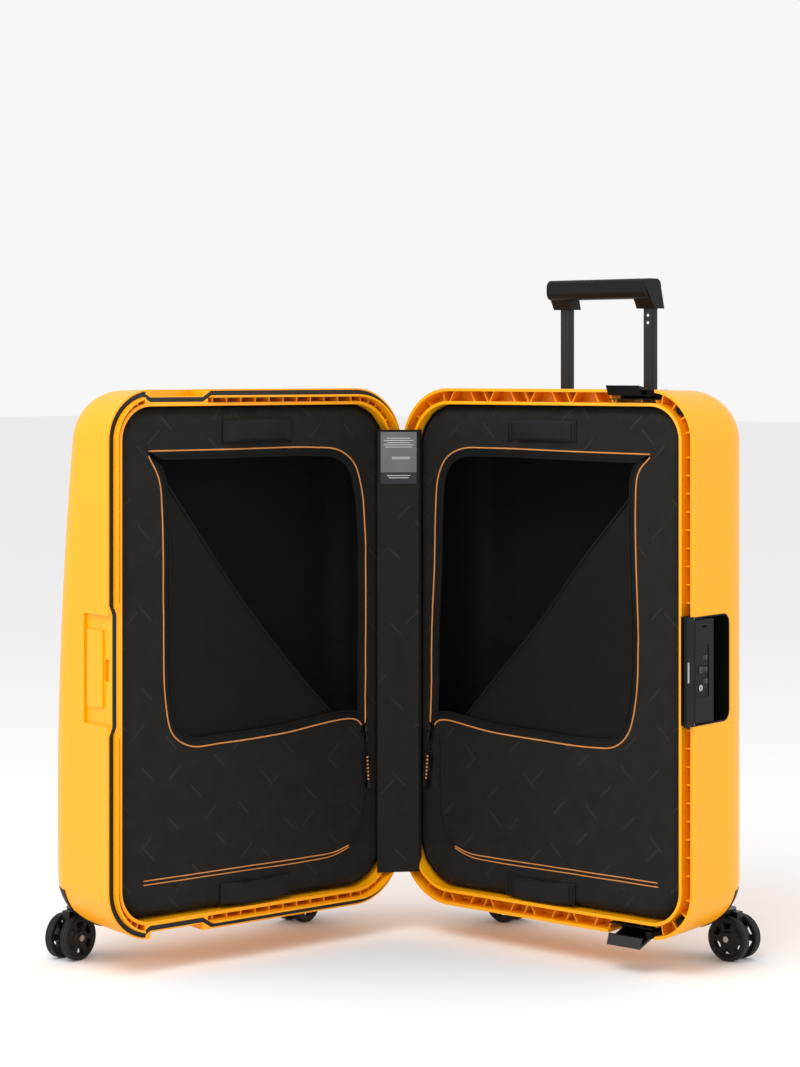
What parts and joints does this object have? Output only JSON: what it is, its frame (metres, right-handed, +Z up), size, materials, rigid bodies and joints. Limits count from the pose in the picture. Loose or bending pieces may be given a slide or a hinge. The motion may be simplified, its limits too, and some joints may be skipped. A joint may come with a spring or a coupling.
{
  "type": "hard shell spinner suitcase",
  "caption": "Hard shell suitcase standing open like a book, with latches, telescopic pull handle, lined halves and twin casters.",
  "frame": {"origin": "on the floor, under the centre of the box around the open suitcase at rest", "axes": "+Z up; +Y out of the rear half's flat big face; +X from the hinge towards the rear half's lock side"},
  "size_m": [0.7231, 0.6437, 0.893],
  "materials": {
    "shell": "satin injection moulded polypropylene, golden yellow",
    "seal": "extruded elastomer seal with a soft sheen",
    "fitting_black": "fine textured black plastic",
    "latch_black": "smooth black plastic",
    "lever_black": "satin black plastic",
    "grip_black": "soft satin black plastic",
    "caster_black": "textured black plastic",
    "wheel_black": "polyurethane tread on a plastic hub",
    "dial": "plated plastic dials and button",
    "steel": "plain steel",
    "tube": "dark anodised aluminium",
    "lining": "charcoal woven lining",
    "panel_cloth": "charcoal woven polyester with a dashed weave",
    "webbing": "black woven webbing",
    "zip": "black painted zip slider with a cloth puller",
    "label": "grey satin label"
  },
  "bodies": {
    "rear_case": {"rear_shell": "shell", "hinge_rear_leaves": "fitting_black", "hinge_pins": "steel", "latch_bases": "fitting_black", "latch_pins": "steel", "lock_pan": "fitting_black", "lock_cover": "fitting_black", "lock_lever_pin": "steel", "handle_outer_tubes": "tube", "handle_bezel": "fitting_black", "wheel_housings_rear": "fitting_black", "lining_rear": "lining", "divider_rear": "panel_cloth", "flap_rear": "lining", "grab_loops_rear": "webbing", "zip_pull_rear": "zip", "hinge_cover": "panel_cloth", "care_label": "label", "rim_fasteners": "fitting_black"},
    "front_case": {"front_shell": "shell", "front_gasket": "seal", "hinge_front_leaves": "fitting_black", "wheel_housings_front": "fitting_black", "lining_front": "lining", "divider_front": "panel_cloth", "flap_front": "lining", "grab_loops_front": "webbing", "zip_pull_front": "zip"},
    "top_latch": {"top_latch": "latch_black"},
    "bottom_latch": {"bottom_latch": "latch_black"},
    "lock_bolt": {"lock_bolt": "steel"},
    "lock_lever": {"lock_lever": "lever_black", "dial_axle": "steel"},
    "dial_low": {"lock_dial_low": "dial"},
    "dial_middle": {"lock_dial_middle": "dial"},
    "dial_high": {"lock_dial_high": "dial"},
    "key_cylinder": {"lock_key_cylinder": "steel"},
    "lock_button": {"lock_button": "dial"},
    "handle_middle": {"handle_middle_tubes": "tube"},
    "handle_inner": {"handle_inner_tubes": "tube", "handle_grip": "grip_black", "handle_tube_buttons": "steel"},
    "handle_button": {"handle_button": "latch_black"},
    "caster_rear_hinge": {"caster_fork_rear_hinge": "caster_black", "caster_steel_rear_hinge": "steel"},
    "wheel_inner_rear_hinge": {"wheel_inner_rear_hinge": "wheel_black"},
    "wheel_outer_rear_hinge": {"wheel_outer_rear_hinge": "wheel_black"},
    "caster_rear_lock": {"caster_fork_rear_lock": "caster_black", "caster_steel_rear_lock": "steel"},
    "wheel_inner_rear_lock": {"wheel_inner_rear_lock": "wheel_black"},
    "wheel_outer_rear_lock": {"wheel_outer_rear_lock": "wheel_black"},
    "caster_front_hinge": {"caster_fork_front_hinge": "caster_black", "caster_steel_front_hinge": "steel"},
    "wheel_inner_front_hinge": {"wheel_inner_front_hinge": "wheel_black"},
    "wheel_outer_front_hinge": {"wheel_outer_front_hinge": "wheel_black"},
    "caster_front_lock": {"caster_fork_front_lock": "caster_black", "caster_steel_front_lock": "steel"},
    "wheel_inner_front_lock": {"wheel_inner_front_lock": "wheel_black"},
    "wheel_outer_front_lock": {"wheel_outer_front_lock": "wheel_black"}
  },
  "joints": [
    {"name": "case_hinge", "type": "hinge", "parent": "rear_case", "child": "front_case", "pos_m": [-0.11631, 0.1509, 0.396], "axis": [0, 0, -1], "range_deg": [-100, 80], "deforming": ["hinge_cover", "care_label"]},
    {"name": "top_latch_flip", "type": "hinge", "parent": "rear_case", "child": "top_latch", "pos_m": [0.26469, 0.1829, 0.738], "axis": [-1, 0, 0], "range_deg": [-11, 50]},
    {"name": "bottom_latch_flip", "type": "hinge", "parent": "rear_case", "child": "bottom_latch", "pos_m": [0.26469, 0.1829, 0.054], "axis": [1, 0, 0], "range_deg": [-20, 40]},
    {"name": "lock_lever_pull", "type": "hinge", "parent": "rear_case", "child": "lock_lever", "pos_m": [0.36219, 0.1554, 0.391], "axis": [0, 0, -1], "range_deg": [0, 35], "stiffness_Nm_per_rad": 0.08, "springref_deg": -11.46},
    {"name": "lock_bolt_slide", "type": "slide", "parent": "rear_case", "child": "lock_bolt", "axis": [-1, 0, 0], "range_m": [0, 0.0045]},
    {"name": "dial_low_turn", "type": "hinge", "parent": "lock_lever", "child": "dial_low", "pos_m": [0.35889, 0.1779, 0.378], "axis": [0, 0, 1], "continuous": true},
    {"name": "dial_middle_turn", "type": "hinge", "parent": "lock_lever", "child": "dial_middle", "pos_m": [0.35889, 0.1779, 0.393], "axis": [0, 0, 1], "continuous": true},
    {"name": "dial_high_turn", "type": "hinge", "parent": "lock_lever", "child": "dial_high", "pos_m": [0.35889, 0.1779, 0.408], "axis": [0, 0, 1], "continuous": true},
    {"name": "key_turn", "type": "hinge", "parent": "lock_lever", "child": "key_cylinder", "pos_m": [0.36169, 0.1664, 0.37], "axis": [1, 0, 0], "range_deg": [0, 90]},
    {"name": "lock_button_press", "type": "slide", "parent": "lock_lever", "child": "lock_button", "axis": [-1, 0, 0], "range_m": [0, 0.0015], "stiffness_N_per_m": 400, "springref_m": -0.001},
    {"name": "handle_middle_slide", "type": "slide", "parent": "rear_case", "child": "handle_middle", "axis": [0, 0, 1], "range_m": [0, 0.15]},
    {"name": "handle_inner_slide", "type": "slide", "parent": "handle_middle", "child": "handle_inner", "axis": [0, 0, 1], "range_m": [-0.145, 0]},
    {"name": "handle_button_press", "type": "slide", "parent": "handle_inner", "child": "handle_button", "axis": [0, 0, -1], "range_m": [0, 0.003], "stiffness_N_per_m": 400, "springref_m": -0.002},
    {"name": "swivel_rear_hinge", "type": "hinge", "parent": "rear_case", "child": "caster_rear_hinge", "pos_m": [-0.06271, 0.2999, 0.06], "axis": [0, 0, 1], "continuous": true},
    {"name": "spin_inner_rear_hinge", "type": "hinge", "parent": "caster_rear_hinge", "child": "wheel_inner_rear_hinge", "pos_m": [-0.04571, 0.2999, 0.029], "axis": [0, 1, 0], "continuous": true},
    {"name": "spin_outer_rear_hinge", "type": "hinge", "parent": "caster_rear_hinge", "child": "wheel_outer_rear_hinge", "pos_m": [-0.04571, 0.2999, 0.029], "axis": [0, 1, 0], "continuous": true},
    {"name": "swivel_rear_lock", "type": "hinge", "parent": "rear_case", "child": "caster_rear_lock", "pos_m": [0.31069, 0.2999, 0.06], "axis": [0, 0, 1], "continuous": true},
    {"name": "spin_inner_rear_lock", "type": "hinge", "parent": "caster_rear_lock", "child": "wheel_inner_rear_lock", "pos_m": [0.32769, 0.2999, 0.029], "axis": [0, 1, 0], "continuous": true},
    {"name": "spin_outer_rear_lock", "type": "hinge", "parent": "caster_rear_lock", "child": "wheel_outer_rear_lock", "pos_m": [0.32769, 0.2999, 0.029], "axis": [0, 1, 0], "continuous": true},
    {"name": "swivel_front_hinge", "type": "hinge", "parent": "front_case", "child": "caster_front_hinge", "pos_m": [-0.27236, 0.12399, 0.06], "axis": [0, 0, 1], "continuous": true},
    {"name": "spin_inner_front_hinge", "type": "hinge", "parent": "caster_front_hinge", "child": "wheel_inner_front_hinge", "pos_m": [-0.27117, 0.10703, 0.029], "axis": [-0.9976, -0.0698, 0], "continuous": true},
    {"name": "spin_outer_front_hinge", "type": "hinge", "parent": "caster_front_hinge", "child": "wheel_outer_front_hinge", "pos_m": [-0.27117, 0.10703, 0.029], "axis": [-0.9976, -0.0698, 0], "continuous": true},
    {"name": "swivel_front_lock", "type": "hinge", "parent": "front_case", "child": "caster_front_lock", "pos_m": [-0.3372, -0.24374, 0.06], "axis": [0, 0, 1], "continuous": true},
    {"name": "spin_inner_front_lock", "type": "hinge", "parent": "caster_front_lock", "child": "wheel_inner_front_lock", "pos_m": [-0.33601, -0.2607, 0.029], "axis": [-0.9976, -0.0698, 0], "continuous": true},
    {"name": "spin_outer_front_lock", "type": "hinge", "parent": "caster_front_lock", "child": "wheel_outer_front_lock", "pos_m": [-0.33601, -0.2607, 0.029], "axis": [-0.9976, -0.0698, 0], "continuous": true}
  ]
}
